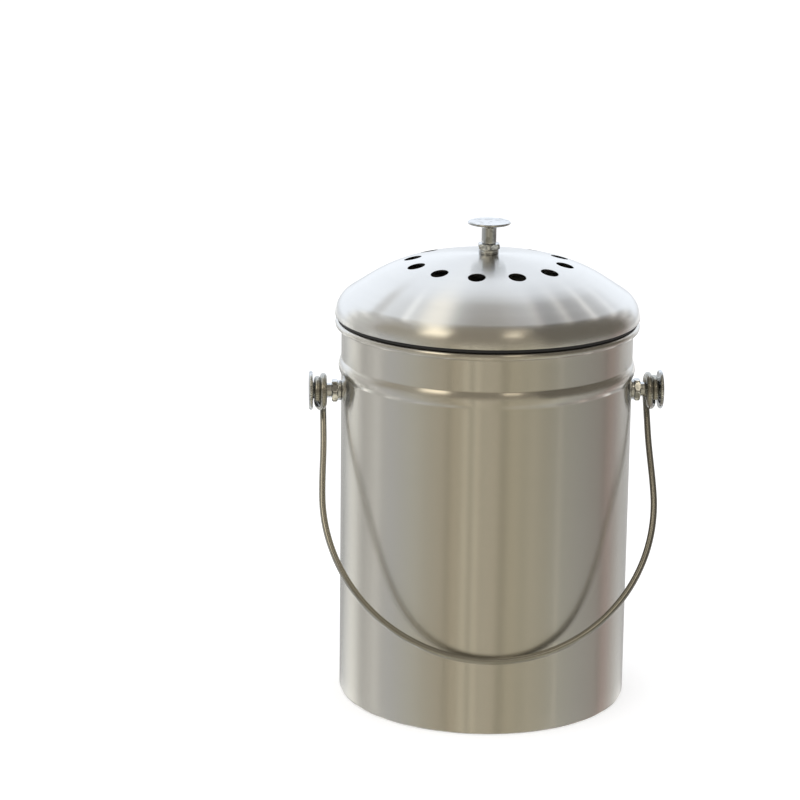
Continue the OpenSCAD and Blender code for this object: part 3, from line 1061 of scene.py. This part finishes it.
@dataclass
class Knob:
    """A turned knob or post on a hexagonal collar and a round spacer. Sizes in millimetres."""

    name: str
    body: str
    side: Side
    start: float
    axis_z: float
    neck_h: float
    head_d: float
    flare_h: float
    head_t: float
    spacer_h: float
    neck_d: float = 9.0
    collar_flats: float = 12.6
    collar_h: float = 3.4
    spacer_d: float = 12.4
    bore: float = 2.25
    tap_depth: float = 7.05
    tap_r: float = 2.05

    def placed(self, mesh: bpy.types.Mesh, along: float) -> bpy.types.Mesh:
        """Moves a mesh to its place on the knob's axis."""
        out = Matrix.Translation((0.0, 0.0, self.axis_z * MM)) @ self.side.value
        mesh.transform(out @ Matrix.Translation((0.0, 0.0, (self.start + along) * MM)))
        return mesh

    def head_outline(self) -> list[Point]:
        """Outline of the turned knob, with its blind bore.

        Returns:
            The closed outline, standing on the collar.
        """
        neck = self.neck_d / 2
        head = self.head_d / 2
        rim = self.head_t / 2
        points: list[Point] = [(self.tap_r, 0.0), (neck - 0.35, 0.0), (neck, 0.35)]
        for i in range(25):
            angle = math.radians(90 * i / 24)
            out = neck + (head - rim - neck) * (1 - math.cos(angle))
            points.append((out, self.neck_h + self.flare_h * math.sin(angle)))
        top = self.neck_h + self.flare_h + self.head_t
        points += arc((head - rim, top - rim), rim, 180, 0, 14)[1:]
        points += [(head - rim - 1.2, top - 0.02), (head - rim - 2.0, top - 0.22)]
        points += [(head * 0.35, top - 0.1), (0.0, top - 0.06)]
        points += [(0.0, self.tap_depth), (self.tap_r, self.tap_depth)]
        return points

    def build(self, shop: Workshop) -> None:
        """Builds the knob, its collar and its spacer.

        Args:
            shop: Maker of the pieces.
        """
        seat = self.spacer_h + self.collar_h
        knob = turned_mesh(f"{self.name}_turned", self.head_outline(), 128)
        collar = hexagon_mesh(f"{self.name}_hex", self.collar_flats, self.collar_h, self.bore, 0.7)
        wide = self.spacer_d / 2
        ring = [(self.bore, 0.0), (wide, 0.0), (wide, self.spacer_h), (self.bore, self.spacer_h)]
        spacer = turned_mesh(f"{self.name}_foot", rounded(ring, [0.1, 0.3, 0.5, 0.2]), 96)
        for mesh, along, node in (
            (knob, seat, self.name),
            (collar, self.spacer_h, f"{self.name}_collar"),
            (spacer, 0.0, f"{self.name}_spacer"),
        ):
            piece = shop.piece(mesh.name, self.placed(mesh, along), Finish.CHROME)
            shop.fit(piece, self.body, Finish.CHROME, node)
        shop.dress(Finish.PLAIN, f"{self.name}_washer", f"{self.name}_screw")


@dataclass
class Filter:
    """The charcoal filter and the slotted holder that keeps it in the lid. Sizes in millimetres."""

    holder_r: float = 84.3
    holder_z: float = 227.0
    holder_rim_h: float = 10.1
    holder_t: float = 1.8
    filter_r: float = 70.0
    filter_t: float = 8.0
    wall_h: float = 4.0
    run_gap: float = 0.3
    seat_gap: float = 0.05
    slots: int = 16
    slot_w: float = 5.0
    slot_start: float = 22.0
    grip_l: float = 44.0
    grip_t: float = 3.6
    grip_h: float = 7.0

    def tray_outline(self) -> list[Point]:
        """Section of the tray: floor, outer rim and the low wall round the filter.

        Returns:
            The closed outline.
        """
        low, floor = self.holder_z, self.holder_z + self.holder_t
        top = self.holder_z + self.holder_rim_h
        inner = self.filter_r + self.run_gap
        wall_top = floor + self.wall_h
        corners = [
            (0.0, low), (self.holder_r, low), (self.holder_r, top), (self.holder_r - self.holder_t, top),
            (self.holder_r - self.holder_t, floor), (inner + self.holder_t, floor),
            (inner + self.holder_t, wall_top),
            (inner, wall_top), (inner, floor), (0.0, floor),
        ]
        return rounded(corners, [0, 0.8, 0.4, 0.4, 0.6, 0.6, 0.4, 0.4, 0.1, 0])

    def holder(self, shop: Workshop) -> bpy.types.Object:
        """Builds the slotted holder.

        Args:
            shop: Maker of the pieces.

        Returns:
            The holder.
        """
        piece = shop.piece(
            "filter_tray", turned_mesh("filter_tray", self.tray_outline(), 192), Finish.PLASTIC
        )
        length = self.filter_r - self.slot_start - self.slot_w
        sizes = {
            "Slots": self.slots,
            "Slot Length": length * MM,
            "Slot Width": self.slot_w * MM,
            "Middle Radius": (self.slot_start + length / 2) * MM,
            "Height": (self.holder_z + self.holder_t / 2) * MM,
            "Depth": 3 * self.holder_t * MM,
            "Finish": shop.materials[Finish.PLASTIC],
        }
        slot_ring_tree().apply(piece, sizes)
        smooth(piece.data)
        return shop.fit(piece, "filter", Finish.PLASTIC, "filter_holder")

    def grip(self, shop: Workshop) -> bpy.types.Object:
        """Builds the rounded finger grip under the tray.

        Args:
            shop: Maker of the pieces.

        Returns:
            The grip.
        """
        shape = bmesh.new()
        bmesh.ops.create_cube(shape, size=1.0)
        size = Matrix.Diagonal((self.grip_l * MM, self.grip_t * MM, self.grip_h * MM, 1.0))
        shape.transform(Matrix.Translation((0.0, 0.0, (self.holder_z - self.grip_h / 2) * MM)) @ size)
        low = min(v.co.z for v in shape.verts)
        edges = [e for e in shape.edges if min(v.co.z for v in e.verts) < low + 1e-6]
        bmesh.ops.bevel(shape, geom=edges, offset=1.2 * MM, segments=5, profile=0.5, affect="EDGES")
        mesh = bpy.data.meshes.new("filter_grip")
        shape.to_mesh(mesh)
        shape.free()
        piece = shop.piece("filter_grip", smooth(mesh), Finish.PLASTIC)
        return shop.fit(piece, "filter", Finish.PLASTIC)

    def charcoal(self, shop: Workshop) -> bpy.types.Object:
        """Builds the charcoal filter, a soft-edged disc with a felted surface.

        Args:
            shop: Maker of the pieces.

        Returns:
            The filter.
        """
        low = self.holder_z + self.holder_t + self.seat_gap
        high = low + self.filter_t
        soft = 1.2
        edge_r = self.filter_r - soft
        floor = [(r, low) for r in np.linspace(0, edge_r, 12)]
        side = arc((edge_r, low + soft), soft, 180, 90, 6)[1:] + arc((edge_r, high - soft), soft, 90, 0, 6)
        felt = [(r, high) for r in np.linspace(self.filter_r - 3, 0, 34)]
        mesh = turned_mesh("charcoal_disc", floor + side + felt, 144)
        grain = np.random.default_rng(7)
        for vertex in mesh.vertices:
            if vertex.co.z > (high - 0.5) * MM:
                vertex.co.z -= float(grain.uniform(0.0, 0.35)) * MM
        piece = shop.piece("charcoal_disc", mesh, Finish.CHARCOAL)
        return shop.fit(piece, "filter", Finish.CHARCOAL, "charcoal_filter")

    def build(self, shop: Workshop) -> None:
        """Builds holder, grip and filter."""
        self.holder(shop)
        self.grip(shop)
        self.charcoal(shop)


@dataclass
class Bail:
    """The wire bail: two wound eyes, two legs and a bow. Sizes in millimetres."""

    wire_d: float = 4.0
    eye_r: float = 9.9
    eye_end_r: float = 8.1
    eye_drop: float = 1.3
    eye_turns: float = 1.65
    eye_pitch: float = 3.7
    eye_x: float = 99.35
    cross_start: float = 0.65
    cross_turns: float = 0.3
    swell: float = 1.3
    spread_start: float = 24.0
    bow_start: float = 65.0
    reach: float = 168.9
    post_z: float = 190.3
    rest_y: float = 90.8
    sides: int = 28

    @property
    def tilt(self) -> float:
        """Angle from straight down at which the bow rests against the wall, in radians."""
        return (
            math.asin(self.rest_y / math.hypot(self.reach, self.eye_r))
            + math.atan(self.eye_r / self.reach)
        )

    def eye(self, side: int) -> list[Vector]:
        """Points of one eye, from where its leg meets it to the wire's end.

        Args:
            side: 1 for the right eye, -1 for the left one.

        Returns:
            The points, for a bail that hangs straight down from the posts' axis.
        """
        points: list[Vector] = []
        for turn in np.linspace(0, self.eye_turns, 115):
            share = self.ease((turn - self.cross_start) / self.cross_turns)
            radius = self.eye_r + (self.eye_end_r - self.eye_r) * share
            angle = 2 * math.pi * turn
            points.append(Vector((
                side * (self.eye_x + self.eye_pitch * share),
                radius * math.cos(angle),
                radius * math.sin(angle) - self.eye_drop,
            )))
        return points

    def leg(self, side: int) -> list[Vector]:
        """Points of one leg, below its eye and above the bow."""
        points: list[Vector] = []
        for drop in np.linspace(self.eye_drop, self.bow_start, 30)[1:-1]:
            spread = self.ease((drop - self.spread_start) / (self.bow_start - self.spread_start))
            points.append(Vector((side * (self.eye_x + self.swell * spread), self.eye_r, -drop)))
        return points

    @staticmethod
    def ease(share: float) -> float:
        """Eases from 0 to 1."""
        share = min(max(share, 0.0), 1.0)
        return share * share * (3 - 2 * share)

    def path(self) -> list[Vector]:
        """The wire's middle line in its resting place.

        Returns:
            The points in metres, from the end of the right eye to the end of the left one.
        """
        bow = [
            Vector((
                (self.eye_x + self.swell) * math.cos(a),
                self.eye_r,
                -self.bow_start - (self.reach - self.bow_start) * math.sin(a),
            ))
            for a in np.linspace(0, math.pi, 141)
        ]
        points = self.eye(1)[::-1] + self.leg(1) + bow + self.leg(-1)[::-1] + self.eye(-1)
        turn = Matrix.Rotation(-self.tilt, 4, "X")
        lift = Vector((0.0, 0.0, self.post_z))
        return [(turn @ point + lift) * MM for point in points]

    def build(self, shop: Workshop) -> None:
        """Builds the wire along its path.

        Args:
            shop: Maker of the pieces.
        """
        points = self.path()
        ends = [0.0, 0.12, 0.32, 0.6]
        line = bpy.data.meshes.new("bail")
        first, last = (
            [end.lerp(inner, min(1.0, share * MM / (inner - end).length)) for share in ends]
            for end, inner in ((points[0], points[1]), (points[-1], points[-2]))
        )
        points = first + points[1:-1] + last[::-1]
        line.from_pydata(points, [(i, i + 1) for i in range(len(points) - 1)], [])
        taper = line.attributes.new("taper", "FLOAT", "POINT")
        sizes = np.ones(len(points), np.float32)
        sizes[:3] = (0.72, 0.88, 0.97)
        sizes[-3:] = (0.97, 0.88, 0.72)
        taper.data.foreach_set("value", sizes)
        piece = shop.piece("bail", line, Finish.WIRE)
        values = {
            "Wire Radius": self.wire_d / 2 * MM,
            "Sides": self.sides,
            "Finish": shop.materials[Finish.WIRE],
        }
        wire_tree().apply(piece, values)
        smooth(piece.data)
        shop.fit(piece, "bail", Finish.WIRE, "bail_wire")


def wire_tree() -> GeometryGraph:
    """Tree that sweeps a round wire along a line and maps it: U round it, V along it in metres.

    Returns:
        The tree, with the wire's radius and the number of its sides as inputs.
    """
    tree = GeometryGraph("wire_sweep", {"Wire Radius": "NodeSocketFloat", "Sides": "NodeSocketInt"})
    line = tree.node("GeometryNodeMeshToCurve", {}, {"Mesh": tree.given("Shape")})
    taper = tree.node(
        "GeometryNodeInputNamedAttribute", {"data_type": "FLOAT"}, {"Name": "taper"}, "Attribute"
    )
    line = tree.node("GeometryNodeSetCurveRadius", {}, {"Curve": line, "Radius": taper})
    along = tree.node("GeometryNodeSplineParameter", {}, {}, "Length")
    settings = {"data_type": "FLOAT", "domain": "POINT"}
    line = tree.node(
        "GeometryNodeStoreNamedAttribute", settings, {"Geometry": line, "Name": "along", "Value": along}
    )
    round_line = tree.node(
        "GeometryNodeCurvePrimitiveCircle",
        {"mode": "RADIUS"},
        {"Resolution": tree.given("Sides"), "Radius": tree.given("Wire Radius")},
    )
    around = tree.node("GeometryNodeSplineParameter", {}, {}, "Factor")
    round_line = tree.node(
        "GeometryNodeStoreNamedAttribute",
        settings,
        {"Geometry": round_line, "Name": "around", "Value": around},
    )
    swept = tree.node(
        "GeometryNodeCurveToMesh", {}, {"Curve": line, "Profile Curve": round_line, "Fill Caps": True}
    )
    read = {"data_type": "FLOAT"}
    u = tree.node("GeometryNodeInputNamedAttribute", read, {"Name": "around"}, "Attribute")
    v = tree.node("GeometryNodeInputNamedAttribute", read, {"Name": "along"}, "Attribute")
    mapped = tree.node(
        "GeometryNodeStoreNamedAttribute",
        {"data_type": "FLOAT2", "domain": "CORNER"},
        {"Geometry": swept, "Name": "wire_map", "Value": tree.vector(u, v, 0.0)},
    )
    tree.close(mapped)
    return tree


# Studio


@dataclass(frozen=True)
class Zone:
    """A soft-edged patch of the room as the steel sees it. Angles in degrees.

    Azimuths start at the camera and grow to the right; elevations start at the horizon and grow upwards.
    """

    middle: float
    half_width: float
    side_blur: float
    low: float
    high: float
    blur: float
    colour: Colour

    def over(self, graph: Graph, room: Socket, front: Socket, side: Socket, height: Socket) -> Socket:
        """Lays the patch over the room.

        Args:
            graph: The world's graph.
            room: The room's colour so far.
            front: How far the direction points towards the camera.
            side: How far it points to the right.
            height: Its elevation, in degrees.

        Returns:
            The room's colour with the patch.
        """
        turn = math.radians(self.middle)
        ahead = front * math.cos(turn) + side * math.sin(turn)
        across = side * math.cos(turn) - front * math.sin(turn)
        off = across.math("ARCTAN2", across, ahead) * (180 / math.pi)
        away = off.math("ABSOLUTE", off)
        inside = 1.0 - away.eased(self.half_width - self.side_blur, self.half_width + self.side_blur)
        above = height.eased(self.low - self.blur, self.low + self.blur)
        below = 1.0 - height.eased(self.high - self.blur, self.high + self.blur)
        return graph.blend(inside * above * below, room, self.colour)


@dataclass(frozen=True)
class Streak:
    """A narrow upright strip low in the room, as the wall sees it. Angles in degrees."""

    azimuth: float
    half_width: float
    gain: float

    def over(self, gain: Socket | float, azimuth: Socket) -> Socket:
        """Adds the strip to the gain of the room's light.

        Args:
            gain: The gain so far.
            azimuth: The direction's azimuth, in degrees.

        Returns:
            The gain with the strip.
        """
        off = azimuth - self.azimuth
        outside = off.math("ABSOLUTE", off).eased(self.half_width * 0.5, self.half_width * 1.5)
        return gain + (1.0 - outside) * (self.gain - 1.0)


@dataclass
class Studio:
    """Camera, pale floor and soft light. Places in millimetres."""

    eye: tuple[float, float, float] = (-148.394, -1639.516, 615.726)
    target: tuple[float, float, float] = (-52.067, 8.408, 181.737)
    focal_px: float = 2782.995
    frame_px: float = 800.0
    roll: float = 0.6447
    lamp_power: float = 5.0
    bands: tuple[tuple[float, Colour], ...] = (
        (-180, (0.72, 0.72, 0.71)), (-151, (0.57, 0.57, 0.56)), (-137, (0.80, 0.80, 0.77)),
        (-129, (0.86, 0.85, 0.80)), (-117, (0.60, 0.59, 0.56)), (-95, (0.52, 0.51, 0.48)),
        (-80, (0.48, 0.48, 0.47)), (-60, (0.465, 0.455, 0.40)), (-45, (0.45, 0.42, 0.34)),
        (-25, (0.43, 0.38, 0.28)), (-14, (0.47, 0.43, 0.33)), (4, (0.43, 0.39, 0.30)),
        (20, (0.42, 0.38, 0.28)), (50, (0.45, 0.42, 0.33)), (66, (0.45, 0.44, 0.38)),
        (85, (0.40, 0.39, 0.355)), (104, (0.36, 0.34, 0.31)), (116, (0.41, 0.33, 0.30)),
        (138, (0.56, 0.55, 0.53)), (155, (0.66, 0.65, 0.64)), (180, (0.72, 0.72, 0.71)),
    )
    shades: tuple[Zone, ...] = (
        Zone(0, 52, 12, 4, 78, 14, (0.25, 0.22, 0.17)),
        Zone(-72, 24, 10, 4, 48, 10, (0.35, 0.32, 0.26)),
        Zone(85, 43, 8, -9, 72, 9, (0.145, 0.13, 0.105)),
    )
    windows: tuple[Zone, ...] = (
        Zone(-173, 42, 8, -4, 69, 8, (1.02, 1.07, 1.14)),
        Zone(0, 200, 10, 77, 200, 6, (0.23, 0.205, 0.165)),
        Zone(-126, 20, 5, 37, 43, 2, (0.55, 0.54, 0.52)),
        Zone(-108, 38, 8, 61, 73, 4, (1.10, 1.05, 0.93)),
        Zone(-66, 13, 6, 52, 67, 4, (1.15, 1.07, 0.88)),
        Zone(-46, 12, 4, 30, 54, 6, (1.6, 1.42, 1.08)),
        Zone(24, 8, 4, 41, 51, 4, (1.6, 1.4, 1.05)),
        Zone(38, 12, 6, 54, 64, 5, (0.65, 0.57, 0.43)),
    )
    slat_period: float = 13.0
    slat_dim: float = 0.7
    slat_glow: float = 2.1
    streaks: tuple[Streak, ...] = (
        Streak(-112, 5, 0.84), Streak(-95, 4.5, 1.2), Streak(-40, 11, 0.93), Streak(-29, 2.5, 0.84),
        Streak(-15.5, 2, 1.2), Streak(-11, 1.6, 0.88), Streak(-6.3, 2, 1.22), Streak(5, 5, 1.06),
        Streak(15, 3.2, 0.8), Streak(32, 4, 0.92), Streak(61.4, 1.6, 1.25), Streak(109, 3, 0.84),
    )

    def camera(self) -> None:
        """Places the camera at the photograph's viewing angle."""
        data = bpy.data.cameras.new("camera")
        data.sensor_width = 36.0
        data.sensor_fit = "HORIZONTAL"
        data.lens = self.focal_px / self.frame_px * 36.0
        data.clip_end = 100.0
        made = bpy.data.objects.new("camera", data)
        bpy.context.scene.collection.objects.link(made)
        ahead = (Vector(self.target) - Vector(self.eye)).normalized()
        flat = ahead.cross(Vector((0, 0, 1))).normalized()
        level = flat.cross(ahead)
        turn = math.radians(self.roll)
        right = math.cos(turn) * flat + math.sin(turn) * level
        up = -math.sin(turn) * flat + math.cos(turn) * level
        pose = Matrix((right, up, -ahead)).transposed().to_4x4()
        pose.translation = Vector(self.eye) * MM
        made.matrix_world = pose
        bpy.context.scene.camera = made
        LOG.info("camera with a %.1f mm lens", data.lens)

    def floor(self) -> None:
        """Lays the pale floor, which shows white and keeps the soft shadow."""
        mesh = bpy.data.meshes.new("floor")
        half = 6.0
        mesh.from_pydata(
            [(-half, -half, 0), (half, -half, 0), (half, half, 0), (-half, half, 0)], [], [(0, 1, 2, 3)]
        )
        made = bpy.data.objects.new("floor", mesh)
        bpy.context.scene.collection.objects.link(made)
        graph = MaterialGraph("pale_floor")
        matt = graph.node("ShaderNodeBsdfDiffuse", {}, {"Color": (0.88, 0.88, 0.88)})
        camera_ray = graph.node("ShaderNodeLightPath", {}, {}, "Is Camera Ray")
        glow = graph.node("ShaderNodeEmission", {}, {"Color": (1.0, 1.0, 1.0), "Strength": camera_ray * 0.40})
        surface = graph.node("ShaderNodeAddShader", {}, {0: matt, 1: glow})
        graph.node("ShaderNodeOutputMaterial", {}, {"Surface": surface})
        mesh.materials.append(graph.material)
        made.visible_glossy = False
        LOG.info("floor laid")

    def world(self) -> None:
        """Sets the room: white to the camera, an even grey for matt pieces, soft bands for the steel."""
        world = bpy.data.worlds.new("room")
        bpy.context.scene.world = world
        world.use_nodes = True
        world.cycles.sampling_method = "NONE"
        graph = Graph(world.node_tree)
        x, y, z = graph.parts(graph.node("ShaderNodeTexCoord", {}, {}, "Generated"))
        ahead = math.atan2(self.eye[1], self.eye[0])
        side = x * (-math.sin(ahead)) + y * math.cos(ahead)
        front = x * math.cos(ahead) + y * math.sin(ahead)
        azimuth = side.math("ARCTAN2", side, front) * (180 / math.pi)
        stops = [((angle + 180) / 360, colour) for angle, colour in self.bands]
        room = graph.node("ShaderNodeValToRGB", {"stops": stops}, {"Fac": azimuth / 360 + 0.5}, "Color")
        height = z.math("ARCSINE", z) * (180 / math.pi)
        gain: Socket | float = 0.0
        for streak in self.streaks:
            gain = streak.over(gain, azimuth)
        room = graph.toned(room, 1.0 + gain * (1.0 - height.eased(-6.0, 4.0)))
        for shade in self.shades:
            room = shade.over(graph, room, front, side, height)
        wave = height * (2 * math.pi / self.slat_period)
        slats = wave.math("SINE", wave).eased(0.55, 0.95)
        room = graph.toned(room, self.slat_dim + slats * (self.slat_glow - self.slat_dim))
        for window in self.windows:
            room = window.over(graph, room, front, side, height)
        mirrored = graph.node("ShaderNodeLightPath", {}, {}, "Is Glossy Ray")
        seen = graph.node("ShaderNodeLightPath", {}, {}, "Is Camera Ray")
        light = graph.blend(mirrored, (0.82, 0.82, 0.83), room)
        shown = graph.blend(seen, light, (1.0, 1.0, 1.0))
        surface = graph.node("ShaderNodeBackground", {}, {"Color": shown, "Strength": 1.0})
        graph.node("ShaderNodeOutputWorld", {}, {"Surface": surface})
        zones = len(self.shades) + len(self.windows)
        LOG.info("room set with %d bands, %d streaks and %d zones", len(self.bands), len(self.streaks), zones)

    def lamp(self, name: str, place: tuple[float, float, float], size: float, power: float) -> None:
        """Hangs one soft lamp that looks at the middle of the caddy.

        Args:
            name: Name of the lamp.
            place: Its place, in metres.
            size: Width of its square face, in metres.
            power: Its power, in watts.
        """
        data = bpy.data.lights.new(name, "AREA")
        data.shape = "SQUARE"
        data.size = size
        data.energy = power
        made = bpy.data.objects.new(name, data)
        bpy.context.scene.collection.objects.link(made)
        aim = (Vector((0, 0, 0.14)) - Vector(place)).to_track_quat("-Z", "Y")
        made.matrix_world = Matrix.Translation(place) @ aim.to_matrix().to_4x4()
        made.visible_glossy = False
        LOG.info("%s of %.0f W", name, power)

    def build(self) -> None:
        """Sets up camera, floor, room and lamps."""
        self.camera()
        self.floor()
        self.world()
        self.lamp("key", (-1.0, -0.9, 1.6), 1.4, self.lamp_power)
        self.lamp("fill", (1.3, -0.6, 1.1), 1.2, self.lamp_power * 0.5)
        scene = bpy.context.scene
        scene.view_settings.view_transform = "Standard"


def knobs(lid: Lid, pail: Pail) -> list[Knob]:
    """The lid's knob and the two posts.

    Args:
        lid: The lid, whose top carries the knob.
        pail: The pail, whose wall carries the posts.

    Returns:
        The three turned pieces.
    """
    gap = 0.05
    out = pail.radius + gap
    return [
        Knob("lid_knob", "lid", Side.TOP, lid.top_z + gap, 0.0, 9.4, 26.0, 2.4, 1.6, 2.7),
        Knob("right_post", "pail", Side.RIGHT, out, pail.post_z, 10.9, 24.0, 0.8, 2.2, 2.2),
        Knob("left_post", "pail", Side.LEFT, out, pail.post_z, 10.9, 24.0, 0.8, 2.2, 2.2),
    ]


def main() -> None:
    """Builds the caddy and its studio."""
    logging.basicConfig(level=logging.INFO, format="%(name)s: %(message)s")
    shop = Workshop()
    pail, lid = Pail(), Lid()
    parts: list[Callable[[Workshop], None]] = [pail.build, lid.build, Filter().build, Bail().build]
    parts += [knob.build for knob in knobs(lid, pail)]
    for build in parts:
        build(shop)
    Studio().build()


if __name__ == "__main__":
    main()
